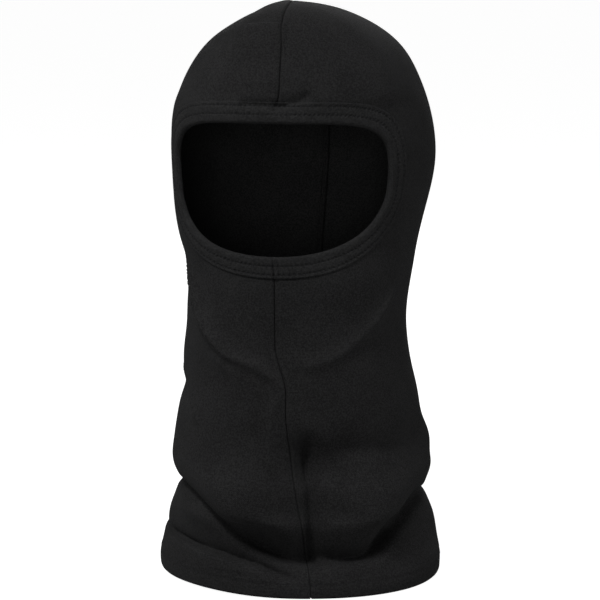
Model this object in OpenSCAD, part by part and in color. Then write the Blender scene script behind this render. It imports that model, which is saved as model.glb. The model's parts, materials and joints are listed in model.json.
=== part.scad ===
// Balaclava: a knitted hood with a face opening, running down into a neck skirt.
// Frame: +Z up, the wearer looks along -Y, the wearer's left is +X.
// The origin is under the middle of the garment, level with the hem.

/* [Hem, level 0] */
// Width of the hem
hem_width = 172; // [160:1:184]
// Reach of the hem in front of the origin
hem_front = 93; // [86:1:98]
// Reach of the hem behind the origin
hem_back = 83; // [76:1:90]
// Turn of the hem against the hood, as the neck cloth hangs, in degrees
hem_twist = 14; // [-20:1:20]
// Height of the turned-up hem
hem_turn = 14; // [12:1:20]

/* [Tuck, where the skirt draws in over the hem] */
// Height of the tuck
tuck_height = 46; // [40:1:52]
// Width at the tuck
tuck_width = 153; // [146:1:160]
// Reach of the tuck to the front
tuck_front = 86; // [80:1:90]
// Reach of the tuck to the back
tuck_back = 74; // [70:1:80]

/* [Roll, where the slack cloth bulges above the tuck] */
// Height of the roll
roll_height = 68; // [60:1:76]
// Width at the roll
roll_width = 158; // [150:1:166]
// Reach of the roll to the front
roll_front = 93; // [88:1:96]
// Reach of the roll to the back
roll_back = 74; // [70:1:80]

/* [Throat, the narrowest level] */
// Height of the throat
throat_height = 150; // [140:1:160]
// Width at the throat
throat_width = 133; // [124:1:142]
// Reach of the throat to the front, under the chin
throat_front = 93; // [86:1:96]
// Reach of the throat to the back, at the nape
throat_back = 59; // [54:1:66]

/* [Jaw] */
// Height of the jaw
jaw_height = 195; // [188:1:202]
// Width at the jaw
jaw_width = 140; // [132:1:148]
// Reach of the jaw to the front
jaw_front = 94; // [88:1:96]
// Reach of the jaw to the back
jaw_back = 72; // [66:1:78]

/* [Brow, the widest level of the hood] */
// Height of the brow level, over the ears
brow_height = 258; // [252:1:262]
// Width at the brow
brow_width = 161; // [152:1:168]
// Reach of the brow to the front
brow_front = 91; // [86:1:95]
// Reach of the brow to the back
brow_back = 96; // [90:1:98]

/* [Crown] */
// Height of the crown above the hem
height = 350; // [340:1:360]
// Place of the crown point behind the origin, negative is in front
crown_y = -30; // [-40:1:-10]

/* [Face opening] */
// Height of the opening's upper edge at the middle
opening_top = 282.5; // [276:0.5:288]
// Height of the opening's lower edge at the middle
opening_bottom = 205.5; // [200:0.5:212]
// Height at which the opening is widest
opening_side = 242; // [236:1:248]
// Half angle of the opening, seen from the middle of the head
opening_angle = 46.5; // [42:0.5:50]

/* [Cloth and trims] */
// Thickness of the knit
cloth_t = 1.5; // [1:0.1:1.8]
// Thickness of the face band's folded strip, one layer
band_t = 1; // [0.8:0.1:1.2]
// Width of the face band
band_width = 12.6; // [11.4:0.1:13.4]
// Width of the elastic inside the band
elastic_width = 3; // [2:0.1:3]
// Thickness of the elastic
elastic_t = 0.8; // [0.5:0.1:1]
// Radius of the sewing thread
thread_r = 0.3; // [0.2:0.05:0.4]
// Distance between the two needle rows on the face band
band_gauge = 5; // [4:0.1:5.6]
// Distance between the two needle rows on the hem
hem_gauge = 3.2; // [2.8:0.1:4]

/* [Care label] */
// Free width of the label
label_width = 25; // [15:1:30]
// Height of the label along the seam
label_height = 36; // [20:1:40]
// Thickness of the label
label_t = 0.4; // [0.3:0.1:0.5]
// Height of the label's middle above the hem
label_z = 44; // [40:1:48]
// Lean of the label away from the cloth at rest, in degrees
label_lean = 15; // [14:1:25]

/* [Hidden] */

LEFT = 1;                  // the wearer's left side, +X
RIGHT = -1;
FRONT = 0;                 // angles round the garment, in degrees
BACK = 180;
CROWN = 2;                 // the climb: 0 at the hem, 1 at the brow, 2 at the crown
ALMOST_CROWN = 1.999;      // the highest climb that still has a direction
ALMOST_WHOLE = 0.99999;    // share of the crown's height left open, so that it has a width
ANGLE_STEP = 0.5;          // to either side of a point, to find which way it faces
CLIMB_STEP = 0.004;        // the same, up and down

SECTION_POWER = 2.2;       // superellipse power of the level sections
CROWN_SIDE_POWER = 2;      // how the hood closes to the crown, seen from the front
CROWN_FRONT_POWER = 3;     // seen from the side, over the forehead
CROWN_BACK_POWER = 2.1;    // seen from the side, over the back of the head
OPENING_TOP_POWER = 4.2;   // a flat upper edge with round corners
OPENING_BOTTOM_POWER = 2.1; // a rounder lower edge

seam_gap = 0.2;            // between the two sides where they meet
neck_gap = 0.5;            // between the neck and the hood, for the turning joint
clearance = 0.45;          // between the band and the panel it wraps
thread_gap = 0.15;         // between a thread and the cloth it lies on, outside
inner_thread_gap = 0.7;    // the same on the inside, where the facets stand in
split_height = 120;        // where the neck ends and the hood begins, for the joint

band_inner_edge = 4.8;     // where the panel ends inside the band
elastic_start = 1.3;       // from the fold of the band to the elastic
needle_row = 5.4;          // from the fold of the band to the inner needle row
stitch_height = hem_turn - 2; // of the upper needle row on the hem
hem_edge_step = 0.6;       // height over which the turned-up layer ends
past_band = band_width + 1; // from the band's fold to just beyond its outer edge
above_hem = 2;             // from the turned-up hem to the ends of the seam threads
label_inset = 4;           // from the cloth in to the label's hinge
label_aside = 2;           // from the middle seam to the label's hinge
label_hinge_r = 0.25;      // radius of the thread the label turns about
label_edge = 2 * label_hinge_r; // from the hinge's middle to the label's sewn edge
thread_colour = "#191a1c";
cloth_colour = "#202123";

EDGE_STEPS = 16;           // panel columns along a quarter of the opening
SIDE_STEPS = 16;           // panel columns from the opening to the back
NECK_STEPS = 26;           // panel columns round half of the neck
LOWER_ROWS = 9;            // hood panel rows below the opening
UPPER_ROWS = 16;           // hood panel rows above it
NECK_ROWS = 9;             // neck panel rows above the hem
LEG_STEPS = 3;             // flats across each leg of the band
BAND_STEPS = 4 * EDGE_STEPS;
FRONT_SEAM_STEPS = 20;
BACK_SEAM_STEPS = 50;

LEVELS = [
    // height, half width, front, back
    [0, hem_width / 2, -hem_front, hem_back],
    [tuck_height, tuck_width / 2, -tuck_front, tuck_back],
    [roll_height, roll_width / 2, -roll_front, roll_back],
    [throat_height, throat_width / 2, -throat_front, throat_back],
    [jaw_height, jaw_width / 2, -jaw_front, jaw_back],
    [brow_height, brow_width / 2, -brow_front, brow_back]
];
TOP_LEVEL = len(LEVELS) - 1;

// ---- The garment's outside ----

// Slope of one column of LEVELS; the cloth hangs plumb at the hem and at the brow
function slope(i, column) =
    (i == 0 || i == TOP_LEVEL) ? 0
    : (LEVELS[i + 1][column] - LEVELS[i - 1][column]) / (LEVELS[i + 1][0] - LEVELS[i - 1][0]);

// One column of LEVELS at any height, as a smooth cubic through the levels
function level_value(column, z) =
    let (
        i = max([for (k = [0 : TOP_LEVEL - 1]) if (LEVELS[k][0] <= z) k]),
        span = LEVELS[i + 1][0] - LEVELS[i][0],
        t = min(1, (z - LEVELS[i][0]) / span)
    )
    (2 * t ^ 3 - 3 * t ^ 2 + 1) * LEVELS[i][column]
    + (t ^ 3 - 2 * t ^ 2 + t) * span * slope(i, column)
    + (3 * t ^ 2 - 2 * t ^ 3) * LEVELS[i + 1][column]
    + (t ^ 3 - t ^ 2) * span * slope(i + 1, column);

// The neck cloth turns steadily from the throat down to the hem
function twist_at(z) =
    let (down = max(0, 1 - z / throat_height))
    hem_twist * (1 - (1 - down) ^ 1.5);

// A climb of 0 to 1 runs up to the brow, and 1 to 2 on over the crown
function crown_share(climb) = sin(90 * max(0, min(1, climb - 1)));
function height_of(climb) =
    climb < 1 ? climb * brow_height : brow_height + (height - brow_height) * crown_share(climb);
function climb_of(z) =
    z <= brow_height ? z / brow_height
    : 1 + asin(min(1, (z - brow_height) / (height - brow_height))) / 90;
function closing(climb, power) =
    (1 - min(ALMOST_WHOLE, crown_share(climb)) ^ power) ^ (1 / power);

function section_radius(angle, half, depth) =
    ((abs(sin(angle)) / half) ^ SECTION_POWER + (abs(cos(angle)) / depth) ^ SECTION_POWER)
    ^ (-1 / SECTION_POWER);

// Point of the garment's outside at an angle round it and a climb up it
function skin_point(angle, climb) =
    let (
        z = height_of(climb),
        half = level_value(1, z) * closing(climb, CROWN_SIDE_POWER),
        front = crown_y + (level_value(2, z) - crown_y) * closing(climb, CROWN_FRONT_POWER),
        back = crown_y + (level_value(3, z) - crown_y) * closing(climb, CROWN_BACK_POWER),
        r = section_radius(angle, half, (back - front) / 2),
        turned = angle + twist_at(z)
    )
    [r * sin(turned), (front + back) / 2 - r * cos(turned), z];

function unit(v) = v / norm(v);

function outward(angle, climb) =
    climb >= CROWN ? [0, 0, 1]
    : let (
        across = skin_point(angle + ANGLE_STEP, climb) - skin_point(angle - ANGLE_STEP, climb),
        above = skin_point(angle, min(climb + CLIMB_STEP, ALMOST_CROWN)),
        below = skin_point(angle, max(climb - CLIMB_STEP, 0)),
        up = above - below
    )
    unit(cross(across, up));

// Point at a distance from the outside: positive stands proud, negative is inside.
// The hem's edge stays flat, so a point of it keeps its height.
function cloth(angle, climb, proud) =
    let (
        on = climb >= CROWN ? [0, crown_y, height] : skin_point(angle, climb),
        off = on + proud * outward(angle, climb)
    )
    climb == 0 ? [off.x, off.y, 0] : off;

// Across the middle seams, towards the wearer's left
function sideways(z) = [cos(twist_at(z)), sin(twist_at(z)), 0];

// ---- The face opening ----

mm_angle = 360 / (PI * brow_width); // the angle of 1 mm along the cloth, in degrees

// Outline of the opening grown by a margin, as [angle, climb]; turn is 0 at the
// wearer's left, 90 at the top and 270 at the bottom
function opening_point(turn, margin) =
    let (
        upper = sin(turn) >= 0,
        power = upper ? OPENING_TOP_POWER : OPENING_BOTTOM_POWER,
        wide = opening_angle / mm_angle + margin,
        high = margin + (upper ? opening_top - opening_side : opening_side - opening_bottom),
        r = (abs(cos(turn) / wide) ^ power + abs(sin(turn) / high) ^ power) ^ (-1 / power)
    )
    [r * cos(turn) * mm_angle, climb_of(opening_side + r * sin(turn))];

function band_point(turn, margin, proud) =
    let (at = opening_point(turn, margin))
    cloth(at[0], at[1], proud);

// ---- Solids from points ----

// A solid skin over rings of points, closed into a loop or capped at both ends
module loft(rings, loop) {
    n = len(rings);
    m = len(rings[0]);
    last = loop ? n - 1 : n - 2;
    sides = [
        for (i = [0 : last]) for (k = [0 : m - 1])
            let (
                a = i * m + k,
                b = i * m + (k + 1) % m,
                c = ((i + 1) % n) * m + (k + 1) % m,
                d = ((i + 1) % n) * m + k
            )
            each [[a, b, c], [a, c, d]]
    ];
    start_cap = [[for (k = [m - 1 : -1 : 0]) k]];
    end_cap = [[for (k = [0 : m - 1]) (n - 1) * m + k]];
    polyhedron(
        points = [for (ring = rings) each ring],
        faces = loop ? sides : concat(sides, start_cap, end_cap)
    );
}

// A sheet of cloth: its outside and inside points match, faces covers the outside
// and rim walks once round its edge
module sheet(outside, inside, faces, rim, flip) {
    n = len(outside);
    m = len(rim);
    walls = [
        for (k = [0 : m - 1])
            let (a = rim[k], b = rim[(k + 1) % m])
            each [[a, b, b + n], [a, b + n, a + n]]
    ];
    linings = [for (f = faces) [f[2] + n, f[1] + n, f[0] + n]];
    all_faces = concat(faces, linings, walls);
    polyhedron(
        points = concat(outside, inside),
        faces = flip ? [for (f = all_faces) [f[2], f[1], f[0]]] : all_faces
    );
}

// Two triangles over a patch, or one where its upper edge closes to the crown point
function patch(a, b, c, d) = b == c ? [[a, b, d]] : [[a, b, c], [a, c, d]];

// ---- Neck ----

neck_top = climb_of(split_height - neck_gap / 2);
neck_heights = [
    0, hem_turn / 2, hem_turn, hem_turn + hem_edge_step,
    each [for (k = [1 : NECK_ROWS]) hem_turn + (split_height - neck_gap / 2 - hem_turn) * k / NECK_ROWS]
];
HEM_ROW = 2;               // the last neck row with two layers of cloth

// One side of the neck; the hem is turned up inside, so it is two layers thick
module neck_panel(side) {
    columns = NECK_STEPS + 1;
    rows = len(neck_heights);
    points = function (proud) [
        for (i = [0 : rows - 1]) for (j = [0 : NECK_STEPS])
            cloth(side * BACK * j / NECK_STEPS, climb_of(neck_heights[i]), proud(i))
            + side * seam_gap / 2 * sideways(neck_heights[i])
    ];
    faces = [
        for (i = [0 : rows - 2]) for (j = [0 : NECK_STEPS - 1])
            let (a = i * columns + j)
            each patch(a, a + columns, a + columns + 1, a + 1)
    ];
    rim = concat(
        [for (j = [0 : NECK_STEPS]) j],
        [for (i = [1 : rows - 1]) i * columns + NECK_STEPS],
        [for (j = [NECK_STEPS - 1 : -1 : 0]) (rows - 1) * columns + j],
        [for (i = [rows - 2 : -1 : 1]) i * columns]
    );
    sheet(
        points(function (i) 0),
        points(function (i) i <= HEM_ROW ? -2 * cloth_t : -cloth_t),
        faces, rim, side == RIGHT
    );
}

module left_neck_panel() {
    color(cloth_colour) neck_panel(LEFT);
}

module right_neck_panel() {
    color(cloth_colour) neck_panel(RIGHT);
}

// ---- Hood ----

// One side of the hood, cut out round the face opening. A ring under the band
// follows the opening's outline. Outside it the columns below the opening and
// above it meet at the opening's side and run on together to the back.
module hood_panel(side) {
    columns = EDGE_STEPS + SIDE_STEPS + 1;
    side_point = opening_point(0, past_band);
    // Where column j leaves the ring, below the opening (-1) or above it (1)
    start = function (j, half) j < EDGE_STEPS
        ? opening_point(half * (90 - 90 * j / EDGE_STEPS), past_band)
        : [side_point[0] + (BACK - side_point[0]) * (j - EDGE_STEPS) / SIDE_STEPS, side_point[1]];
    foot = climb_of(split_height + neck_gap / 2);
    place = function (angle, climb, proud)
        cloth(side * angle, climb, proud) + side * seam_gap / 2 * sideways(height_of(climb));
    lower = function (i, j, proud)
        let (at = start(j, -1))
        place(at[0], foot + (at[1] - foot) * i / LOWER_ROWS, proud);
    upper = function (i, j, proud)
        let (at = start(j, 1))
        place(at[0], at[1] + (CROWN - at[1]) * i / UPPER_ROWS, proud);
    edge = function (k, proud)
        let (at = opening_point(90 - 90 * k / EDGE_STEPS, band_inner_edge))
        place(at[0], at[1], proud);
    points = function (proud) concat(
        [for (i = [0 : LOWER_ROWS]) for (j = [0 : columns - 1]) lower(i, j, proud)],
        [for (j = [0 : EDGE_STEPS - 1]) upper(0, j, proud)],
        [for (i = [1 : UPPER_ROWS - 1]) for (j = [0 : columns - 1]) upper(i, j, proud)],
        [upper(UPPER_ROWS, 0, proud)],
        [for (k = [0 : 2 * EDGE_STEPS]) edge(k, proud)]
    );
    upper_start = (LOWER_ROWS + 1) * columns;
    pole = upper_start + EDGE_STEPS + (UPPER_ROWS - 1) * columns;
    cut = function (k) pole + 1 + k;
    low = function (i, j) i * columns + j;
    high = function (i, j)
        i == UPPER_ROWS ? pole
        : i > 0 ? upper_start + EDGE_STEPS + (i - 1) * columns + j
        : j < EDGE_STEPS ? upper_start + j : low(LOWER_ROWS, j);
    ring = function (k) k <= EDGE_STEPS ? high(0, k) : low(LOWER_ROWS, 2 * EDGE_STEPS - k);
    faces = [
        for (i = [0 : LOWER_ROWS - 1]) for (j = [0 : columns - 2])
            each patch(low(i, j), low(i + 1, j), low(i + 1, j + 1), low(i, j + 1)),
        for (i = [0 : UPPER_ROWS - 1]) for (j = [0 : columns - 2])
            each patch(high(i, j), high(i + 1, j), high(i + 1, j + 1), high(i, j + 1)),
        for (k = [0 : 2 * EDGE_STEPS - 1])
            each patch(cut(k), ring(k), ring(k + 1), cut(k + 1))
    ];
    rim = [
        for (j = [0 : columns - 1]) low(0, j),
        for (i = [1 : LOWER_ROWS]) low(i, columns - 1),
        for (i = [1 : UPPER_ROWS]) high(i, columns - 1),
        for (i = [UPPER_ROWS - 1 : -1 : 0]) high(i, 0),
        for (k = [0 : 2 * EDGE_STEPS]) cut(k),
        for (i = [LOWER_ROWS : -1 : 1]) low(i, 0)
    ];
    sheet(points(0), points(-cloth_t), faces, rim, side == RIGHT);
}

module left_hood_panel() {
    color(cloth_colour) hood_panel(LEFT);
}

module right_hood_panel() {
    color(cloth_colour) hood_panel(RIGHT);
}

// ---- Face band ----

// Half of the band's thickness over the panel, outside the fold and inside it
band_half = cloth_t / 2 + clearance + band_t;
fold_half = band_half - band_t;

// The strip's section as [margin from the fold, height over the cloth's middle]
leg_length = band_width - band_half;
band_section = [
    for (k = [0 : LEG_STEPS - 1]) [band_width - leg_length * k / LEG_STEPS, band_half],
    for (a = [90 : 30 : 270]) [band_half + band_half * cos(a), band_half * sin(a)],
    for (k = [1 : LEG_STEPS]) [band_half + leg_length * k / LEG_STEPS, -band_half],
    for (k = [LEG_STEPS : -1 : 1]) [band_half + leg_length * k / LEG_STEPS, -fold_half],
    for (a = [270 : -45 : 90]) [band_half + fold_half * cos(a), fold_half * sin(a)],
    for (k = [1 : LEG_STEPS]) [band_half + leg_length * k / LEG_STEPS, fold_half]
];

// A closed ring round the opening with a section of [margin, height] points
module opening_ring(section) {
    loft([
        for (k = [0 : BAND_STEPS - 1])
            [for (p = section) band_point(360 * k / BAND_STEPS, p[0], p[1] - cloth_t / 2)]
    ], true);
}

// The folded strip that wraps the cut edges of both hood panels
module face_band() {
    color(cloth_colour) opening_ring(band_section);
}

module face_elastic() {
    color("#3a3a3c") opening_ring([
        [elastic_start, elastic_t / 2],
        [elastic_start, -elastic_t / 2],
        [elastic_start + elastic_width, -elastic_t / 2],
        [elastic_start + elastic_width, elastic_t / 2]
    ]);
}

// One thread of the twin stitch round the opening, on the outside (1) or inside (-1)
module band_stitch_row(margin, face) {
    gap = face > 0 ? thread_gap : inner_thread_gap;
    height_here = face * (band_half + gap + thread_r);
    color(thread_colour) opening_ring([
        [margin, height_here + thread_r],
        [margin - thread_r, height_here],
        [margin, height_here - thread_r],
        [margin + thread_r, height_here]
    ]);
}

module face_needle_thread_inner() {
    band_stitch_row(needle_row, 1);
}

module face_needle_thread_outer() {
    band_stitch_row(needle_row + band_gauge, 1);
}

module face_looper_thread() {
    band_stitch_row(needle_row + band_gauge / 2, -1);
}

// The short seam that joins the two ends of the strip, at the chin
module band_join_thread() {
    chin = 270;
    join_clear = 3 * thread_r; // from the needle row to the end of this seam
    height_here = band_half + thread_gap + thread_r - cloth_t / 2;
    low_end = band_point(chin, needle_row - join_clear, height_here);
    high_end = band_point(chin, band_half, height_here);
    way = high_end - low_end;
    color(thread_colour)
        translate(low_end)
            rotate([-atan2(way.y, way.z), 0, 0])
                cylinder(h = norm(way), r = thread_r, $fn = 24);
}

// ---- Seam threads, inside the garment ----

seam_depth = -(cloth_t + inner_thread_gap + thread_r);
seam_foot = climb_of(hem_turn + above_hem);

// A seam thread through [angle, climb] stations, with a square section
module seam_thread(stations) {
    color(thread_colour) loft([
        for (s = stations)
            let (
                middle = cloth(s[0], s[1], seam_depth),
                out = thread_r * outward(s[0], s[1]),
                aside = thread_r * sideways(height_of(s[1]))
            )
            [middle + out, middle - aside, middle - out, middle + aside]
    ], false);
}

// From the brow over the crown and down the nape to the hem
module crown_seam_thread() {
    brow_end = opening_point(90, past_band)[1];
    over = 1.97;           // the climb on either side of the crown point
    seam_thread([
        for (k = [0 : FRONT_SEAM_STEPS])
            [FRONT, brow_end + (over - brow_end) * k / FRONT_SEAM_STEPS],
        for (k = [0 : BACK_SEAM_STEPS])
            [BACK, over + (seam_foot - over) * k / BACK_SEAM_STEPS]
    ]);
}

// From the hem up the throat to the face band
module chin_seam_thread() {
    chin_end = opening_point(270, past_band)[1];
    seam_thread([
        for (k = [0 : FRONT_SEAM_STEPS])
            [FRONT, seam_foot + (chin_end - seam_foot) * k / FRONT_SEAM_STEPS]
    ]);
}

// ---- Hem threads ----

// One thread of the hem's twin stitch
module hem_stitch_row(z, proud) {
    steps = 2 * NECK_STEPS;
    climb = climb_of(z);
    color(thread_colour) loft([
        for (k = [0 : steps - 1])
            let (angle = 360 * k / steps)
            [
                cloth(angle, climb, proud + thread_r),
                cloth(angle, climb, proud) + [0, 0, thread_r],
                cloth(angle, climb, proud - thread_r),
                cloth(angle, climb, proud) - [0, 0, thread_r]
            ]
    ], true);
}

module hem_needle_thread_upper() {
    hem_stitch_row(stitch_height, thread_gap + thread_r);
}

module hem_needle_thread_lower() {
    hem_stitch_row(stitch_height - hem_gauge, thread_gap + thread_r);
}

module hem_looper_thread() {
    hem_stitch_row(stitch_height - hem_gauge / 2, -(2 * cloth_t + inner_thread_gap + thread_r));
}

// ---- Care label ----

// The label turns about the thread that sews its edge to the back seam
label_twist = twist_at(label_z);
label_pivot =
    cloth(BACK, climb_of(label_z), -(cloth_t + label_inset)) + label_aside * sideways(label_z);

// A blank satin label, free at its far edge
module care_label() {
    color("#c9c9c6")
        translate(label_pivot)
            rotate([0, 0, label_twist - label_lean])
                translate([label_edge, -label_t / 2, -label_height / 2])
                    cube([label_width, label_t, label_height]);
}

module label_thread() {
    color("#c9c9c6")
        translate(label_pivot - [0, 0, label_height / 2])
            cylinder(h = label_height, r = label_hinge_r, $fn = 24);
}

left_hood_panel();
right_hood_panel();
left_neck_panel();
right_neck_panel();
face_band();
face_elastic();
face_needle_thread_inner();
face_needle_thread_outer();
face_looper_thread();
band_join_thread();
crown_seam_thread();
chin_seam_thread();
hem_needle_thread_upper();
hem_needle_thread_lower();
hem_looper_thread();
care_label();
label_thread();
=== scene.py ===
"""Looks of the balaclava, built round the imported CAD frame.

Lengths inside this script are millimetres and angles round the garment are degrees: 0 is the
front, 180 the back, and the wearer's left is positive. Meshes are turned into metres when made.
"""

import json
import math

import bmesh
import bpy
import numpy as np
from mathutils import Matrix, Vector


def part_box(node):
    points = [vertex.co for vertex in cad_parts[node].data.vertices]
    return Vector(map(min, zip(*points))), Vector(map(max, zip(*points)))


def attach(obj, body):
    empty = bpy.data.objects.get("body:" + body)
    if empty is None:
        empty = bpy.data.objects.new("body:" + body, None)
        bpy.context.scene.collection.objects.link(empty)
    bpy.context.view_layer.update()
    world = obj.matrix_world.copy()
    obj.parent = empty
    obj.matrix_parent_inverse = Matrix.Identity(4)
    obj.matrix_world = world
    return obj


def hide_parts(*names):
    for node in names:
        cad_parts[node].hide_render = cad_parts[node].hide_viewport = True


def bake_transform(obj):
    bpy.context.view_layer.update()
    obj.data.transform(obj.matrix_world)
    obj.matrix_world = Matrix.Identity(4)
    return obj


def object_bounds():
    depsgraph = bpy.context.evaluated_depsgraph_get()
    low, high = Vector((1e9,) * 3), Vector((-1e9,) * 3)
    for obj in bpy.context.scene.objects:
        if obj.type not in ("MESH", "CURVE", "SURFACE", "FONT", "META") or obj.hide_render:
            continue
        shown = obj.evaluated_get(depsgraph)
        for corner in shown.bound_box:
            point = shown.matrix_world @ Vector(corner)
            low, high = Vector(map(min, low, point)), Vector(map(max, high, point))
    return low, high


MM = 0.001
LEFT, RIGHT = 1, -1

# ---- The garment's outside: the same rule and sizes as the CAD part ----

# Height, half width, reach to the front and reach to the back of each level
LEVELS = np.array([
    [0.0, 86.0, -93.0, 83.0],      # hem
    [46.0, 76.5, -86.0, 74.0],     # tuck
    [68.0, 79.0, -93.0, 74.0],     # roll
    [150.0, 66.5, -93.0, 59.0],    # throat
    [195.0, 70.0, -94.0, 72.0],    # jaw
    [258.0, 80.5, -91.0, 96.0],    # brow
])
HEIGHT = 350.0
BROW = LEVELS[-1, 0]
THROAT = LEVELS[3, 0]
CROWN_Y = -30.0
HEM_TWIST = 14.0
SECTION_POWER = 2.2
CROWN_POWERS = {"side": 2.0, "front": 3.0, "back": 2.1}

OPENING_TOP = 282.5
OPENING_BOTTOM = 205.5
OPENING_SIDE = 242.0
OPENING_ANGLE = 46.5
OPENING_POWERS = {"top": 4.2, "bottom": 2.1}
DEGREES_PER_MM = 360 / (math.pi * 2 * LEVELS[-1, 1])

# ---- Cloth and trims ----

CLOTH = 1.5                # thickness of the knit
HEM_TURN = 14.0            # height of the turned-up hem
BAND_WIDTH = 12.6
BAND_T = 1.0
NEEDLE_ROWS = (5.4, 10.4)  # from the band's fold to its needle rows
HEM_ROWS = (12.0, 8.8)     # heights of the hem's needle rows
PANEL_CUT = 4.8            # from the band's fold to the panel's cut edge inside it
BAND_STITCHES = 156
HEM_STITCHES = 200

# Radii of the threads
NEEDLE_THREAD = 0.24
JOIN_THREAD = 0.22
FINE_THREAD = 0.2
# Height of a thread along one stitch, from needle hole to needle hole
BAND_DIP = np.array([-0.55, -0.16, 0.0, 0.05, 0.05, 0.0, -0.16, -0.55])
HEM_DIP = np.array([-0.55, -0.14, 0.0, 0.05, 0.0, -0.14, -0.55])
JOIN_DIP = np.array([-0.5, -0.12, 0.0, 0.03, 0.0, -0.12, -0.5])


def smoothstep(x, low, high):
    t = np.clip((x - low) / (high - low), 0, 1)
    return t * t * (3 - 2 * t)


def bell(x, width):
    return np.exp(-((x / width) ** 2))


def near_front(angle, whole, none):
    """1 up to whole degrees from the front, fading to 0 at none degrees."""
    return 1 - smoothstep(np.abs(angle), whole, none)


def plateau(x, foot, top, top_end, foot_end):
    """1 from top to top_end, fading to 0 at foot and foot_end."""
    return smoothstep(x, foot, top) * (1 - smoothstep(x, top_end, foot_end))


def step_off(x, reach, lip):
    """An edge at 0 that eases off over reach where x is positive and over lip where it isn't."""
    return np.where(x > 0, np.exp(-np.maximum(x, 0) / reach), bell(x, lip))


def wrapped(angle):
    """The same angle between -180 and 180."""
    return (angle + 180) % 360 - 180


def unit(v):
    return v / np.maximum(np.linalg.norm(v, axis=-1, keepdims=True), 1e-12)


def run_along(path):
    """Length along a path at each of its points."""
    return np.concatenate([[0], np.cumsum(np.linalg.norm(np.diff(path, axis=0), axis=1))])


# ---- The smooth skin ----

LEVEL_SLOPES = np.zeros_like(LEVELS)
LEVEL_SLOPES[1:-1] = (LEVELS[2:] - LEVELS[:-2]) / (LEVELS[2:, :1] - LEVELS[:-2, :1])


def level_value(column, z):
    """One column of LEVELS at any height, as a smooth cubic through the levels."""
    i = np.clip(np.searchsorted(LEVELS[:, 0], z, side="right") - 1, 0, len(LEVELS) - 2)
    span = LEVELS[i + 1, 0] - LEVELS[i, 0]
    t = np.clip((z - LEVELS[i, 0]) / span, 0, 1)
    return (
        (2 * t**3 - 3 * t**2 + 1) * LEVELS[i, column]
        + (t**3 - 2 * t**2 + t) * span * LEVEL_SLOPES[i, column]
        + (3 * t**2 - 2 * t**3) * LEVELS[i + 1, column]
        + (t**3 - t**2) * span * LEVEL_SLOPES[i + 1, column]
    )


def twist_at(z):
    down = np.maximum(0, 1 - z / THROAT)
    return HEM_TWIST * (1 - (1 - down) ** 1.5)


def crown_share(climb):
    return np.sin(np.pi / 2 * np.clip(climb - 1, 0, 1))


def height_of(climb):
    return np.where(climb < 1, climb * BROW, BROW + (HEIGHT - BROW) * crown_share(climb))


def climb_of(z):
    share = np.clip((z - BROW) / (HEIGHT - BROW), 0, 1)
    return np.where(z <= BROW, z / BROW, 1 + np.arcsin(share) * 2 / np.pi)


def closing(climb, power):
    return (1 - np.minimum(0.99999, crown_share(climb)) ** power) ** (1 / power)


def section(climb):
    """Half width, front and back of the level section at a climb."""
    z = height_of(climb)
    half = level_value(1, z) * closing(climb, CROWN_POWERS["side"])
    front = CROWN_Y + (level_value(2, z) - CROWN_Y) * closing(climb, CROWN_POWERS["front"])
    back = CROWN_Y + (level_value(3, z) - CROWN_Y) * closing(climb, CROWN_POWERS["back"])
    return half, front, back


def skin(angle, climb):
    angle, climb = np.broadcast_arrays(np.asarray(angle, float), np.asarray(climb, float))
    half, front, back = section(climb)
    z = height_of(climb)
    depth = (back - front) / 2
    a = np.radians(angle)
    r = (
        (np.abs(np.sin(a)) / half) ** SECTION_POWER + (np.abs(np.cos(a)) / depth) ** SECTION_POWER
    ) ** (-1 / SECTION_POWER)
    turned = np.radians(angle + twist_at(z))
    return np.stack([r * np.sin(turned), (front + back) / 2 - r * np.cos(turned), z], -1)


def outward(angle, climb):
    across = skin(angle + 0.5, climb) - skin(angle - 0.5, climb)
    up = skin(angle, np.minimum(climb + 0.004, 1.999)) - skin(angle, np.maximum(climb - 0.004, 0))
    normal = unit(np.cross(across, up))
    top = np.broadcast_to(np.asarray(climb)[..., None] >= 1.999, normal.shape)
    return np.where(top, [0.0, 0.0, 1.0], normal)


def sideways(climb):
    """Across the middle seams, towards the wearer's left."""
    a = np.radians(twist_at(height_of(climb)))
    return np.stack([np.cos(a), np.sin(a), np.zeros_like(a)], -1)


# ---- Folds: how the slack cloth lies ----

ARC = 1.38                 # millimetres along the cloth to one degree round it

# Lines of [garment angle, height]; left and right are the wearer's
JAW_RIDGE_ON_RIGHT = [
    (-56, 208), (-46, 189), (-40, 169), (-31, 156), (-22, 146), (-10.5, 140.5), (-4, 134), (-2, 124),
    (-5, 108),
]
JAW_RIDGE_ON_LEFT = [
    (66, 190), (53, 171), (48, 164.5), (38, 156), (32, 150), (23, 145), (13, 141), (4, 139),
]
SEAM_RIDGE = [(-2, 130), (-5, 112), (-7, 92), (-7, 70)]
CHEST_RIDGE = [(-34, 148), (-21, 134), (-16, 117), (-14, 98)]
EDGE_RIDGE = [(-68, 137), (-58, 123), (-50, 110), (-44, 96)]
SEAM_VALLEY = [(11, 106), (8, 97), (6, 88), (5, 78), (5, 58), (4, 44), (2, 26), (2, 8)]
LEFT_VALLEY = [(8, 92), (24, 89), (42, 87), (72, 87), (86, 88)]
CROWN_FOLD = [(-56, 331), (-41, 333), (-25, 336), (-12, 338), (-2, 340)]
NAPE_FOLDS = ([(150, 168), (180, 160), (-150, 170)], [(140, 137), (180, 128), (-140, 139)])
BROW_TUCK = [(-2, 290), (4, 293.5), (8, 296.5), (13, 301)]
BROW_CREASES = ([(-17, 302), (-8, 302), (2, 302)], [(-15, 294), (-7, 293.5), (3, 293.5)])
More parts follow.
